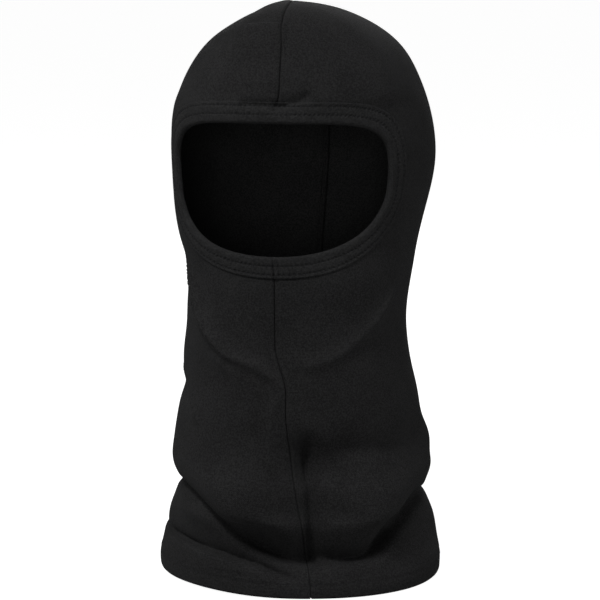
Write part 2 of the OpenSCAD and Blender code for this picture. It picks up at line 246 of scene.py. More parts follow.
# How the lines lie: the line, how far its slopes reach, its height and the width of its crest
CREASES = [
    (JAW_RIDGE_ON_RIGHT, 9.0, 1.2, 2.0),
    (JAW_RIDGE_ON_LEFT, 4.0, 3.2, 0.7),
    (SEAM_RIDGE, 3.0, 2.0, 1.0),
    (CHEST_RIDGE, 4.0, 2.0, 1.0),
    (EDGE_RIDGE, 3.4, 1.7, 0.8),
    (SEAM_VALLEY, 6.5, -11.5, 2.2),
    (LEFT_VALLEY, 12.0, -7.0, 4.0),
    (CROWN_FOLD, 1.8, 0.9, 0.5),
    (BROW_TUCK, 3.2, -3.6, 1.0),
    (BROW_CREASES[0], 1.8, -1.3, 0.6),
    (BROW_CREASES[1], 2.2, -2.2, 0.6),
]
LINE_END = 0.22            # share of a line over which it dies out at each end

# The crease along the top of the hem, on the wearer's right: garment angle and height
SKIRT_CREASE = np.array([
    (-180, 22), (-97, 23), (-65, 26), (-38, 25), (-21, 20.5), (-11, 14.5), (0, 11), (180, 22),
])
SKIRT_CREASE_SPAN = (-150, -110, -14, 0)
SKIRT_CREASE_DEPTH = 7.0

# The pleat on the crown: garment angles between which it lies, and its sloping upper edge
PLEAT_SPAN = (-33, -24, -1, 3)
PLEAT_HEIGHT = 3.2
PLEAT_MIDDLE = -13
PLEAT_TOP = 336.5
PLEAT_SLOPE = 0.08

# The tuck above the hem, where the slack cloth rolls over: garment angle and height
TUCK = np.array([
    (-180, 44), (-120, 48), (-80, 55.5), (-62, 57.5), (-45, 52), (-34, 43), (-26, 34), (-14, 27),
    (-6, 21.5), (4, 22.5), (24, 23), (31, 28), (41, 36.5), (50, 43), (63, 47.5), (80, 48), (120, 46),
    (180, 44),
])
# Depth of the tuck, its reach up the roll and its reach down: at the sides, more at the front,
# and more in the wedge on the wearer's left
TUCK_SHAPE = ((4.2, 2.0, 3.4), (3.2, 4.2, 4.0), (3.0, 1.0, -1.0))
TUCK_WEDGE = (26, 38, 60, 84)
# Where the cloth lies fuller or tighter than the skin: garment angle, height, reach of it
# along the cloth round and up, and how far it stands out
FULLNESS = [
    (-72, 252, 30, 26, -2.9),
    (-66, 188, 40, 17, -3.4),
    (-76, 140, 40, 14, 1.2),
    (-74, 118, 36, 9, -2.2),
    (-85, 345, 60, 14, -3.0),
    (110, 322, 60, 17, 2.6),
    (98, 110, 45, 16, 1.6),
    (90, 82, 42, 11, 3.4),
    (88, 66, 40, 8, 1.4),
    (-82, 61, 42, 9, -2.6),
    (-92, 31, 55, 15, 3.6),
    (86, 31, 55, 14, 3.6),
    (-92, 6, 55, 12, 2.4),
    (84, 8, 55, 12, -0.4),
    (-24, 63, 20, 17, 6.5),
    (60, 13, 34, 9, 2.0),
    (31, 56, 20, 15, 6.5),
    (14, 66, 9, 24, -1.5),
    (46, 8, 34, 13, 2.6),
    (5, 2, 70, 9, 1.2),
    (-45, 4, 34, 10, -2.4),
    (-7, 301.5, 8, 3.5, 1.0),
    (-17, 318, 25, 9, -2.6),
    (38, 136, 22, 9, 0.8),
    (-52, 45, 26, 8, 3.4),
    (24, 187, 30, 12, 1.4),
    (14, 77, 18, 13, -4.2),
]
# Hollows under the roll, where the tuck is deepest: garment angle, reach in degrees, how much
# deeper the tuck is there and how much further up the roll it reaches
HOLLOWS = ((-17, 11, 5.4, 7.0), (19, 10, 3.6, -1.6), (34, 9, 5.0, 1.0))
# The small peak where the crown seam ends: height, place and reach
PEAK = 1.6
PEAK_AT = (-2.5, CROWN_Y - 4)
PEAK_REACH = 7.0
# How far the chin seam is pulled aside: height, reach and pull
SEAM_PULLS = ((128, 13, 2.6), (66, 42, -3.2))


def nearest_on(line, angle, z):
    """Distance in millimetres along the cloth from points to a line of [angle, height], and the
    share of the line that lies before the nearest place on it."""
    steps = [(wrapped(a1 - a0) * ARC, z1 - z0) for (a0, z0), (a1, z1) in zip(line, line[1:])]
    total = sum(math.hypot(*step) for step in steps)
    nearest = np.full(np.broadcast(angle, z).shape, 1e9)
    share = np.zeros(nearest.shape)
    passed = 0.0
    for (a0, z0), (dx, dz) in zip(line, steps):
        x = wrapped(angle - a0) * ARC
        t = np.clip((x * dx + (z - z0) * dz) / (dx * dx + dz * dz), 0, 1)
        away = np.hypot(x - t * dx, z - z0 - t * dz)
        share = np.where(away < nearest, (passed + t * math.hypot(dx, dz)) / total, share)
        nearest = np.minimum(nearest, away)
        passed += math.hypot(dx, dz)
    return nearest, share


def crest(angle, z, line, reach, height, width):
    """A ridge with a narrow crest that dies out at both ends; a valley when the height is negative."""
    away, share = nearest_on(line, angle, z)
    ends = smoothstep(np.minimum(share, 1 - share), 0, LINE_END)
    return height * ends * np.exp(-(np.sqrt(away**2 + width**2) - width) / reach)


def jaw_crest(angle, z):
    """The sharp crest of the jaw ridge on the wearer's right, lower towards the chin seam."""
    fading = 1 - 0.5 * smoothstep(angle, -34, -12)
    return fading * crest(angle, z, JAW_RIDGE_ON_RIGHT, 3.0, 5.2, 0.5)


def nape_fold(angle, z, line):
    """A soft fold across the nape: a valley with a swelling over it."""
    return crest(angle, z, line, 7.0, -2.4, 2.5) + 1.6 * bell(nearest_on(line, angle, z - 11)[0], 8)


def skirt_crease(angle, z):
    """Sharp below, eased off above, and shallow behind the garment's side."""
    over = z - np.interp(angle, SKIRT_CREASE[:, 0], SKIRT_CREASE[:, 1])
    strength = (0.15 + 0.85 * smoothstep(angle, -104, -72)) * plateau(angle, *SKIRT_CREASE_SPAN)
    lip = 1.6 + 1.4 * smoothstep(angle, -66, -30)
    return -SKIRT_CREASE_DEPTH * strength * step_off(over, 8, lip)


def crown_pleat(angle, z):
    """Stands out under its upper edge and eases off downwards."""
    under = PLEAT_TOP + PLEAT_SLOPE * (angle - PLEAT_MIDDLE) - z
    return PLEAT_HEIGHT * plateau(angle, *PLEAT_SPAN) * step_off(under, 12, 1.6)


def tuck_line(angle):
    """Height of the tuck: low at the front, up at the sides and the back."""
    spread = (-6, -3, 0, 3, 6)
    return sum(np.interp(angle + d, TUCK[:, 0], TUCK[:, 1], period=360) for d in spread) / len(spread)


def roll(angle, z):
    """The slack cloth that rolls over the tuck: how far it stands out, and how far it is drawn up."""
    slope = (tuck_line(angle + 0.5) - tuck_line(angle - 0.5)) / ARC
    over = (z - tuck_line(angle)) / np.sqrt(1 + slope**2)
    front = near_front(angle, 8, 68)
    wedge = plateau(angle, *TUCK_WEDGE)
    strength = (0.62 + 0.38 * near_front(angle, 70, 120)) * smoothstep(z, 3, 13)
    # The back seam holds the cloth flatter, which keeps the label's way free
    strength = strength * (1 - 0.85 * bell(180 - np.abs(angle), 9))

    depth, above, below = (side + more * front + most * wedge for side, more, most in TUCK_SHAPE)
    for middle, reach, deeper, higher in HOLLOWS:
        depth = depth + deeper * bell(angle - middle, reach)
        above = above + higher * bell(angle - middle, reach)
    belly = 7.0 * front * bell(z - 48, 17)
    rolled = strength * (0.9 + 3.4 * front) * bell(over - 14 - 6 * front, 9)
    tuck = strength * depth * bell(over, np.where(over > 0, above, below))
    drawn = strength * front * (0.6 * bell(over + 4, 3) - 1.2 * bell(over - 9, 7))
    return belly + rolled - tuck, drawn


def fullness(angle, z):
    return sum(
        amount * bell(wrapped(angle - middle) * ARC, wide) * bell(z - level, high)
        for middle, level, wide, high, amount in FULLNESS
    )


WAVE_HEIGHT = 1.3
WAVES = np.random.default_rng(7)


def random_wave():
    """One slow wave over the whole cloth: turns round it, pitch up it, two phases and a weight."""
    turns, pitch = WAVES.integers(2, 9), WAVES.uniform(0.02, 0.07)
    return turns, pitch, WAVES.uniform(0, 2 * np.pi, 2), WAVES.uniform(0.5, 1)


WAVE_TERMS = [random_wave() for _ in range(9)]


def undulation(angle, z):
    total = 0.0
    for turns, pitch, (phase_a, phase_z), weight in WAVE_TERMS:
        round_it = np.sin(np.radians(turns * angle) + phase_a + z * pitch * 0.6)
        total = total + weight * round_it * np.sin(z * pitch + phase_z)
    return WAVE_HEIGHT * total / len(WAVE_TERMS)


def hem_stitching(z):
    """A groove along each needle row of the hem, and the low welt between them."""
    grooves = sum(0.30 * bell(z - row, 0.7) for row in HEM_ROWS)
    return 0.18 * bell(z - sum(HEM_ROWS) / 2, 0.9) - grooves


def folds(angle, z):
    """How far the cloth stands out of the smooth skin, and how far it is drawn up, at each point."""
    out, drawn = roll(angle, z)
    out = out + fullness(angle, z) + skirt_crease(angle, z) + crown_pleat(angle, z)
    out = out + jaw_crest(angle, z) + sum(crest(angle, z, *crease) for crease in CREASES)
    out = out + sum(nape_fold(angle, z, line) for line in NAPE_FOLDS)
    out = out + undulation(angle, z) * plateau(z, 2, 20, 300, 345) + hem_stitching(z)
    # The hem's edge is drawn up a little on the wearer's right
    drawn = drawn + 1.2 * bell(angle + 45, 35) * (1 - smoothstep(z, 4, 26))
    return out, drawn


def sway(angle, z):
    """How far the cloth is pulled along +X: the opening sits a little askew of the seams."""
    opening = plateau(z, 190, 212, 288, 298)
    brow = plateau(z, 290, 302, 325, 345)
    seam = sum(pull * bell(z - level, reach) for level, reach, pull in SEAM_PULLS)
    return near_front(angle, 42, 78) * (1.9 * brow - 1.6 * opening) + bell(angle, 30) * seam


def lay(angle, climb, proud):
    """Point of the laid cloth: proud stands out of its outside."""
    signed = wrapped(np.asarray(angle, float))
    z = height_of(np.asarray(climb, float))
    out, drawn = folds(signed, z)
    fade = 1 - smoothstep(z, HEIGHT - 4.5, HEIGHT - 0.4)
    stands = np.asarray(proud, float) + out * fade
    at = skin(angle, climb) + stands[..., None] * outward(angle, climb)
    from_peak = np.hypot(at[..., 0] - PEAK_AT[0], at[..., 1] - PEAK_AT[1])
    at[..., 2] += drawn + PEAK * np.exp(-from_peak / PEAK_REACH)
    at[..., 0] += sway(signed, z)
    return at


# ---- The face opening ----


def opening_radius(cos_turn, sin_turn, margin):
    upper = sin_turn >= 0
    power = np.where(upper, OPENING_POWERS["top"], OPENING_POWERS["bottom"])
    wide = OPENING_ANGLE / DEGREES_PER_MM + margin
    high = margin + np.where(upper, OPENING_TOP - OPENING_SIDE, OPENING_SIDE - OPENING_BOTTOM)
    return (np.abs(cos_turn / wide) ** power + np.abs(sin_turn / high) ** power) ** (-1 / power)


def opening_point(turn, margin):
    """[angle, climb] on the opening's outline grown by a margin; turn 0 is the wearer's left."""
    a = np.radians(turn)
    r = opening_radius(np.cos(a), np.sin(a), margin)
    return r * np.cos(a) * DEGREES_PER_MM, climb_of(OPENING_SIDE + r * np.sin(a))


def opening_margin(angle, z):
    """How far outside the opening's outline a point lies."""
    across, up = angle / DEGREES_PER_MM, z - OPENING_SIDE
    far = np.maximum(np.hypot(across, up), 1e-6)
    low, high = np.full(far.shape, -30.0), np.full(far.shape, 400.0)
    for _ in range(32):
        middle = (low + high) / 2
        outside = far > opening_radius(across / far, up / far, middle)
        low, high = np.where(outside, middle, low), np.where(outside, high, middle)
    return (low + high) / 2


def opening_turns(count, margin):
    """Turns spaced evenly along the outline, starting at the chin."""
    fine = np.linspace(-90, 270, 3601)
    run = run_along(skin(*opening_point(fine, margin)))
    return np.interp(np.arange(count) / count * run[-1], run, fine), run[-1]


# ---- Meshes ----


def mesh_object(name, points, faces, materials, face_material=None, knit=None):
    """A smooth mesh object from points in millimetres."""
    mesh = bpy.data.meshes.new(name)
    mesh.from_pydata((np.asarray(points) * MM).tolist(), [], faces)
    if knit is not None:
        attribute = mesh.attributes.new("knit", "FLOAT_VECTOR", "POINT")
        flat = np.concatenate([knit, np.zeros((len(knit), 1))], 1)
        attribute.data.foreach_set("vector", flat.astype(np.float32).ravel())
    for material in materials:
        mesh.materials.append(material)
    if face_material is not None:
        mesh.polygons.foreach_set("material_index", np.asarray(face_material, np.int32))
    mesh.polygons.foreach_set("use_smooth", np.ones(len(mesh.polygons), bool))
    mesh.validate()
    mesh.update()
    obj = bpy.data.objects.new(name, mesh)
    bpy.context.scene.collection.objects.link(obj)
    return obj


def ring_faces(rows, columns, loop_rows, loop_columns):
    faces = []
    for i in range(rows if loop_rows else rows - 1):
        for k in range(columns if loop_columns else columns - 1):
            a, b = i * columns + k, i * columns + (k + 1) % columns
            c, d = ((i + 1) % rows) * columns + (k + 1) % columns, ((i + 1) % rows) * columns + k
            faces.append((a, b, c, d))
    return faces


def both_sides(faces, count):
    """A sheet's faces, those of its other side, numbered count further on, and its edge walls."""
    edges = set()
    for face in faces:
        for k, a in enumerate(face):
            b = face[(k + 1) % len(face)]
            if (b, a) in edges:
                edges.remove((b, a))
            else:
                edges.add((a, b))
    inside = [tuple(i + count for i in reversed(face)) for face in faces]
    return faces + inside + [(b, a, a + count, b + count) for a, b in sorted(edges)]


class Threads:
    """Gathers many short lengths of thread into one mesh."""

    def __init__(self, radius, sides=6):
        self.radius, self.sides = radius, sides
        self.points, self.faces, self.knit, self.count = [], [], [], 0

    def add(self, path, normals, closed=False):
        if closed:
            tangent = unit(np.roll(path, -1, 0) - np.roll(path, 1, 0))
        else:
            tangent = unit(np.gradient(path, axis=0))
        normal = unit(normals - (normals * tangent).sum(-1, keepdims=True) * tangent)
        aside = np.cross(tangent, normal)
        a = np.arange(self.sides) * 2 * np.pi / self.sides
        across = np.cos(a)[None, :, None] * normal[:, None] + np.sin(a)[None, :, None] * aside[:, None]
        ring = path[:, None] + self.radius * across
        base = self.count
        for face in ring_faces(len(path), self.sides, closed, True):
            self.faces.append(tuple(base + i for i in face[::-1]))
        if not closed:
            self.faces.append(tuple(base + k for k in range(self.sides)))
            last = base + (len(path) - 1) * self.sides
            self.faces.append(tuple(last + k for k in reversed(range(self.sides))))
        self.points.append(ring.reshape(-1, 3))
        round_it = np.broadcast_to(a[None] / (2 * np.pi), (len(path), self.sides))
        along = np.broadcast_to(run_along(path)[:, None], (len(path), self.sides))
        self.knit.append(np.stack([round_it, along], -1).reshape(-1, 2))
        self.count += len(path) * self.sides

    def add_on(self, surface, height, out=1, closed=False):
        """A thread at a height over a surface, a function that gives points at a height."""
        path = surface(height)
        self.add(path, path - surface(height - out), closed)

    def build(self, name, material):
        return mesh_object(
            name, np.concatenate(self.points), self.faces, [material], knit=np.concatenate(self.knit)
        )


# ---- Materials ----


class Shader:
    """A small wrapper that keeps node materials readable."""

    def __init__(self, name):
        self.material = bpy.data.materials.new(name)
        self.material.use_nodes = True
        self.tree = self.material.node_tree
        self.bsdf = next(n for n in self.tree.nodes if n.type == "BSDF_PRINCIPLED")

    def node(self, kind, inputs=None, **settings):
        made = self.tree.nodes.new(kind)
        for key, value in settings.items():
            setattr(made, key, value)
        for key, value in (inputs or {}).items():
            self.feed(made.inputs[key], value)
        return made

    def feed(self, socket, value):
        if isinstance(value, bpy.types.NodeSocket):
            self.tree.links.new(value, socket)
        else:
            socket.default_value = value

    def math(self, operation, *values):
        made = self.node("ShaderNodeMath", operation=operation)
        for socket, value in zip(made.inputs, values):
            self.feed(socket, value)
        return made.outputs[0]

    def times(self, a, b):
        return self.math("MULTIPLY", a, b)

    def plus(self, a, b):
        return self.math("ADD", a, b)

    def knit_axes(self, wide, high):
        """Stitch coordinates: the knit attribute in stitches instead of millimetres."""
        at = self.node("ShaderNodeAttribute", attribute_name="knit")
        split = self.node("ShaderNodeSeparateXYZ", {"Vector": at.outputs["Vector"]})
        return self.math("DIVIDE", split.outputs[0], wide), self.math("DIVIDE", split.outputs[1], high)

    def hump(self, value):
        """One smooth hump over each whole step of value."""
        s = self.math("SUBTRACT", self.times(self.math("FRACT", value), 2.0), 1.0)
        return self.math("SUBTRACT", 1.0, self.times(s, s))

    def noise(self, scale, detail=3.0, roughness=0.5):
        at = self.node("ShaderNodeTexCoord").outputs["Object"]
        inputs = {"Vector": at, "Scale": scale, "Detail": detail, "Roughness": roughness}
        return self.node("ShaderNodeTexNoise", inputs).outputs["Fac"]

    def ramp(self, value, low, high, dark, light):
        """dark below low, light above high, and a straight mix between."""
        made = self.node("ShaderNodeValToRGB", {"Fac": value})
        made.color_ramp.elements[0].position, made.color_ramp.elements[1].position = low, high
        made.color_ramp.elements[0].color = (*dark, 1)
        made.color_ramp.elements[1].color = (*light, 1)
        return made.outputs["Color"]

    def mix(self, share, a, b, blend="MIX"):
        made = self.node("ShaderNodeMix", data_type="RGBA", blend_type=blend)
        self.feed(made.inputs[0], share)
        self.feed(made.inputs[6], a)
        self.feed(made.inputs[7], b)
        return made.outputs[2]

    def bump(self, height, distance, strength=1.0, under=None):
        made = self.node("ShaderNodeBump", {"Height": height, "Distance": distance, "Strength": strength})
        if under is not None:
            self.feed(made.inputs["Normal"], under)
        return made.outputs["Normal"]

    def finish(self, **inputs):
        for key, value in inputs.items():
            self.feed(self.bsdf.inputs[key.replace("_", " ")], value)
        return self.material


JERSEY_STITCH = (1.15, 0.85)   # width and height of one stitch
BAND_STITCH = (0.95, 0.7)


def knit_material(name, dark, light, stitch, purl=False):
    """Fine jersey: rows of V stitches outside, or the purl loops of its inside, with painted shade in the
    hollows between the stitches.
    """
    s = Shader(name)
    across, up = s.knit_axes(*stitch)
    if purl:
        wave = s.times(s.math("COSINE", s.times(across, 2 * math.pi)), 0.3)
        height = s.hump(s.plus(up, wave))
    else:
        half = s.math("ABSOLUTE", s.math("SUBTRACT", s.math("FRACT", across), 0.5))
        arm = s.hump(s.times(half, 2.0))
        strand = s.hump(s.plus(up, s.times(half, 1.5)))
        height = s.times(s.math("SQRT", arm), strand)
    fibres = s.noise(2600.0, roughness=0.7)
    cloudy = s.noise(45.0)
    melange = s.noise(1000.0, roughness=0.75)
    tone = s.plus(s.times(melange, 0.86), s.times(cloudy, 0.14))
    colour = s.ramp(tone, 0.41, 0.59, dark, light)
    # Painted shade: the colour drops to 0.68 of itself in the hollows between stitches and rises to 1.1
    # on the strands
    painted_stitch_shade = s.plus(0.68, s.times(height, 0.42))
    painted_stitch_shade_rgb = s.node("ShaderNodeCombineColor", {0: painted_stitch_shade, 1: painted_stitch_shade, 2: painted_stitch_shade}).outputs[0]
    colour = s.mix(1.0, colour, painted_stitch_shade_rgb, "MULTIPLY")
    normal = s.bump(fibres, 0.00012, 0.5)
    normal = s.bump(height, 0.00016, 0.8, normal)
    return s.finish(
        Base_Color=colour,
        Roughness=0.92,
        Specular_IOR_Level=0.08,
        Sheen_Weight=0.015,
        Sheen_Roughness=0.35,
        Sheen_Tint=(0.55, 0.56, 0.60, 1),
        Normal=normal,
    )


def thread_material(name, colour, ply):
    """Spun thread: plies wound round it and a little loose fibre, with painted shade in the grooves
    between the plies.
    """
    s = Shader(name)
    round_it, along = s.knit_axes(1.0, ply)
    twist = s.hump(s.plus(along, s.times(round_it, 2.0)))
    lint = s.noise(3000.0, detail=2.0)
    # Lighter on the ply crests and darker in the grooves: painted highlight and shade, spotted with
    # random lint tone
    light = tuple(c * 1.9 for c in colour)
    return s.finish(
        Base_Color=s.ramp(s.times(twist, lint), 0.1, 0.7, colour, light),
        Roughness=0.75,
        Specular_IOR_Level=0.12,
        Normal=s.bump(twist, 0.00008, 0.8),
    )


def elastic_material():
    """Braided elastic: fine cords along it, crossed by its covering yarn, with painted shade between the
    cords.
    """
    s = Shader("elastic_braid")
    along, across = s.knit_axes(0.7, ELASTIC_WIDTH / ELASTIC_CORDS)
    yarn = s.hump(s.plus(along, s.times(across, 0.5)))
    weave = s.times(yarn, s.hump(across))
    return s.finish(
        # Painted shade: the colour darkens where the weave is low, between the cords and yarns
        Base_Color=s.ramp(weave, 0.1, 0.9, (0.02, 0.02, 0.021), (0.06, 0.06, 0.063)),
        Roughness=0.7,
        Normal=s.bump(weave, 0.0001, 0.7),
    )


def satin_material():
    """Blank woven satin: long floats along the label, painted shade between them and a soft shine."""
    s = Shader("label_satin")
    across, up = s.knit_axes(1 / 3, 1 / 6)
    cross = s.hump(s.plus(across, s.times(up, 0.25)))
    weave = s.times(s.hump(up), s.plus(0.6, s.times(cross, 0.4)))
    stain = s.noise(90.0)
    # Painted shade: the weave tone darkens in the gaps between the floats
    colour = s.mix(
        0.35, s.ramp(weave, 0.0, 1.0, (0.50, 0.50, 0.49), (0.74, 0.74, 0.72)),
        s.ramp(stain, 0.3, 0.7, (0.55, 0.55, 0.53), (0.70, 0.70, 0.69)),
    )
    return s.finish(
        Base_Color=colour,
        Roughness=0.38,
        Anisotropic=0.5,
        Sheen_Weight=0.2,
        Normal=s.bump(weave, 0.00005, 0.5),
    )


# ---- Panels ----

SEAM_SHIFT = CLOTH / 2 - 0.03       # from the seam's plane to the middle of each allowance
SEAM_BEND = 0.85                    # radius at which the cloth turns in at the seam
SEAM_DEPTH = 4.2                    # width of the seam allowance
BEND_STEPS = 5

ROW_STEPS = ((75, 1.2), (192, 1.5), (BROW, 2.2))  # up to a height, in steps of
CROWN_ROWS = 62
COLUMNS = 156
FRONT_DENSER = 0.09        # how far the columns crowd towards the front
HEM_GAP = 0.1              # between the hem and its turned-up edge
CUT_SNAP = 1.15            # points this close to the cut edge move onto it


def seam_stations():
    """[along the cloth, depth below the middle of the cloth] from the allowance's edge outwards."""
    allowance = [(0.0, SEAM_BEND + d) for d in (SEAM_DEPTH, 3.2, 2.2, 1.2, 0.5)]
    turns = np.linspace(0, np.pi / 2, BEND_STEPS)
    bend = [(SEAM_BEND * (1 - math.cos(t)), SEAM_BEND * (1 - math.sin(t))) for t in turns]
    flat = [(a, 0.0) for a in (1.4, 2.1, 3.1, 4.4, 6.0)]
    return np.array(allowance + bend + flat)


def label_room(angle, z):
    """Share of the seam allowance's width behind the label, where it is narrow so that the label
    can turn over it."""
    return 1 - 0.6 * plateau(z, 16, 26, 62, 72) * (np.abs(angle) > 90)


def panel_rows():
    """Climb and depth of the middle of the cloth, from the turned-up edge round the fold and up."""
    outer = -CLOTH / 2
    inner = -CLOTH * 1.5 - HEM_GAP
    fold = (outer - inner) / 2
    lowest = CLOTH / 2 + fold
    up_inside = np.arange(HEM_TURN, lowest, -1.1)
    turns = np.linspace(0, np.pi, 7)
    heights = [lowest]
    for top, step in ROW_STEPS:
        count = max(1, round((top - heights[-1]) / step))
        heights.extend(np.linspace(heights[-1], top, count + 1)[1:])
    z = np.concatenate([up_inside, lowest - fold * np.sin(turns), heights[1:]])
    proud = np.concatenate([
        np.full(len(up_inside), inner), (inner + outer) / 2 - fold * np.cos(turns),
        np.full(len(heights) - 1, outer),
    ])
    crown = np.linspace(1, 2, CROWN_ROWS + 1)[1:]
    return np.concatenate([z / BROW, crown]), np.concatenate([proud, np.full(CROWN_ROWS, outer)])


def snap_to_cut(angle, climb):
    """Moves points close to the panel's cut edge onto it; returns which points are cut away and
    how far each lies outside the opening."""
    z = height_of(climb)
    margin = opening_margin(angle, z)
    near = np.abs(margin - PANEL_CUT) < CUT_SNAP
    across, up = angle / DEGREES_PER_MM, z - OPENING_SIDE
    far = np.maximum(np.hypot(across, up), 1e-6)
    grow = np.where(near, opening_radius(across / far, up / far, PANEL_CUT) / far, 1)
    snapped = np.where(near & (climb > 0.3), climb_of(OPENING_SIDE + up * grow), climb)
    return angle * grow, snapped, margin < PANEL_CUT - CUT_SNAP, margin


def knit_coordinates(angle, climb, row_run):
    """Wale and course coordinates in millimetres; over the crown the cloth stays straight."""
    round_it = (angle - 90) * ARC
    total = row_run[-1]
    from_crown = total - row_run[:, None]
    a = np.radians(angle - 90)
    share = smoothstep(climb, 1.25, 1.75)
    u = (1 - share) * round_it + share * from_crown * np.sin(a)
    v = (1 - share) * row_run[:, None] + share * (total - from_crown * np.cos(a))
    return np.stack([u, v], -1)


def shell(middle, normal, kept, ids):
    """Outside, inside and edge faces of a sheet of cloth; returns points, faces and face kinds."""
    rows, columns = ids.shape
    count = ids.max() + 1
    place = np.zeros((count, 3))
    direction = np.zeros((count, 3))
    np.add.at(direction, ids.ravel(), normal.reshape(-1, 3))
    place[ids.ravel()] = middle.reshape(-1, 3)
    thick = unit(direction) * CLOTH / 2
    outside = []
    for i in range(rows - 1):
        for j in range(columns - 1):
            if kept[i, j]:
                corners = [ids[i, j], ids[i, j + 1], ids[i + 1, j + 1], ids[i + 1, j]]
                corners = [int(c) for k, c in enumerate(corners) if c != corners[k - 1]]
                if len(corners) > 2:
                    outside.append(tuple(corners))
    faces = both_sides(outside, count)
    kinds = [0] * len(outside) + [1] * (len(faces) - len(outside))
    return np.concatenate([place + thick, place - thick]), faces, kinds


def panel_columns(depth, stations):
    """Angles of each row's columns: the seam's stations at both ends and the rest between."""
    narrow = (np.minimum(1, depth / 14) / depth)[:, None]
    near = np.degrees(stations[:, 0][None] * narrow)
    share = np.linspace(0, 1, COLUMNS + 2)[1:-1][None]
    share = share - FRONT_DENSER * np.sin(np.pi * share)
    between = near[:, -1:] + (180 - 2 * near[:, -1:]) * share
    return np.concatenate([near, between, 180 - near[:, ::-1]], 1)


def seam_inset(angle, z, margin, stations):
    """How far each point lies under the surface, where the cloth turns in at the seams."""
    allowance = np.zeros(angle.shape)
    allowance[:, :len(stations)] = stations[:, 1]
    allowance[:, -len(stations):] = stations[::-1, 1]
    room = np.clip(smoothstep(z, 15, 24) * smoothstep(margin, 13.5, 20), 0.05, 1)
    room = room * label_room(angle, z)
    # The seam line is crisp at the chin, softer over the chest and faint on the hem
    crisp = 0.45 + 0.25 * smoothstep(z, 12, 30) + 0.3 * smoothstep(z, 95, 125)
    return np.minimum(allowance, SEAM_BEND) * crisp + np.maximum(allowance - SEAM_BEND, 0) * room


def join_at_crown(shape, stations):
    """Point numbers of a panel whose last row is drawn together on the middle of the crown."""
    ids = np.arange(shape[0] * shape[1]).reshape(shape)
    last = ids[-1]
    count = len(stations)
    spare = count // 3
    last[count - spare:spare - count] = last[count]
    for k, (_, depth) in enumerate(stations):
        if depth > 0:
            last[-1 - k] = last[k]
        else:
            last[k] = last[-1 - k] = last[count]
    return np.unique(ids.ravel(), return_inverse=True)[1].reshape(shape)


def build_panel(side, name, materials):
    """One side of the garment, from the turned-up hem to the crown, with its seam allowances."""
    climb_rows, proud_rows = panel_rows()
    stations = seam_stations()
    _, front, back = section(climb_rows)
    depth = np.maximum((back - front) / 2, 1e-3)
    angle = panel_columns(depth, stations)
    climb = np.broadcast_to(climb_rows[:, None], angle.shape).copy()

    row_run = run_along(skin(90.0, climb_rows))
    row_run = row_run + np.cumsum(np.concatenate([[0], np.abs(np.diff(proud_rows))]))
    knit = knit_coordinates(angle, climb, row_run)

    angle, climb, cut, margin = snap_to_cut(angle, climb)
    inset = seam_inset(angle, height_of(climb), margin, stations)
    inset = inset * np.where(proud_rows < -CLOTH, -0.4, 1.0)[:, None]
    middle = lay(side * angle, climb, proud_rows[:, None] - inset)
    spread = np.abs(np.cos(np.radians(angle)))
    spread = spread + (1 - spread) * (1 - smoothstep(depth, 8, 34)[:, None])
    middle += (side * SEAM_SHIFT * spread)[..., None] * sideways(climb)

    ids = join_at_crown(angle.shape, stations)
    normal = np.cross(np.gradient(middle, axis=1), np.gradient(middle, axis=0)) * side
    normal[-1] = normal[-2]
    kept = ~(cut[:-1, :-1] | cut[:-1, 1:] | cut[1:, 1:] | cut[1:, :-1])
    points, faces, kinds = shell(middle, unit(normal), kept, ids)
    if side == RIGHT:
        faces = [tuple(reversed(face)) for face in faces]
    flat_knit = np.zeros((ids.max() + 1, 2))
    flat_knit[ids.ravel()] = knit.reshape(-1, 2)
    obj = mesh_object(name, points, faces, materials, kinds, np.tile(flat_knit, (2, 1)))
    drop_loose(obj)
    return obj


def drop_loose(obj):
    """Removes points that no face uses."""
    bm = bmesh.new()
    bm.from_mesh(obj.data)
    bmesh.ops.delete(bm, geom=[v for v in bm.verts if not v.link_faces], context="VERTS")
    bm.to_mesh(obj.data)
    bm.free()


# ---- Face band ----

SUB_STEPS = 6                       # sweep stations to each stitch
BAND_RISE = CLOTH / 2 + BAND_T + 0.15  # from the panel's middle to the band's outside
GROOVE = 0.9                        # half the width of a needle row's groove
ELASTIC_START = 1.3                 # from the band's fold to the elastic
ELASTIC_WIDTH = 3.0
ELASTIC_T = 0.8
ELASTIC_CORDS = 7
ELASTIC_STEPS = 480
JOIN_RIDGE = 2.2                    # width of the ridge where the band's ends are joined


def band_profile():
    """Closed section as [margin, height over the panel's middle, side], side 1 outside, -1 inside
    and 0 within the fold."""
    edge, inner = BAND_RISE, BAND_RISE - BAND_T
    stops = [BAND_WIDTH - 0.5]
    for row in reversed(NEEDLE_ROWS):
        stops += [row + GROOVE, row - GROOVE]
    stops += [edge]
    legs = np.concatenate([
        np.linspace(a, b, count)[:-1] for a, b, count in zip(stops, stops[1:], (4, 7, 7, 7, 5))
    ])
    rim = [(BAND_WIDTH, edge - 0.55), (BAND_WIDTH - 0.14, edge - 0.16)]
    turn = np.radians(np.arange(90, 271, 15))
    points = [(m, h, 1) for m, h in rim] + [(m, edge, 1) for m in legs]
    for t in turn:
        points.append((edge + edge * math.cos(t), edge * math.sin(t), 1 if math.sin(t) >= 0 else -1))
    points += [(m, -edge, -1) for m in legs[::-1]] + [(m, -h, -1) for m, h in reversed(rim)]
    points += [(BAND_WIDTH - 0.2, -inner, -1)] + [(m, -inner, 0) for m in legs[::-3]]
    points += [(edge + inner * math.cos(t), inner * math.sin(t), 0) for t in turn[::-2]]
    points += [(m, inner, 0) for m in legs[::3][::-1]] + [(BAND_WIDTH - 0.2, inner, 0)]
    return points


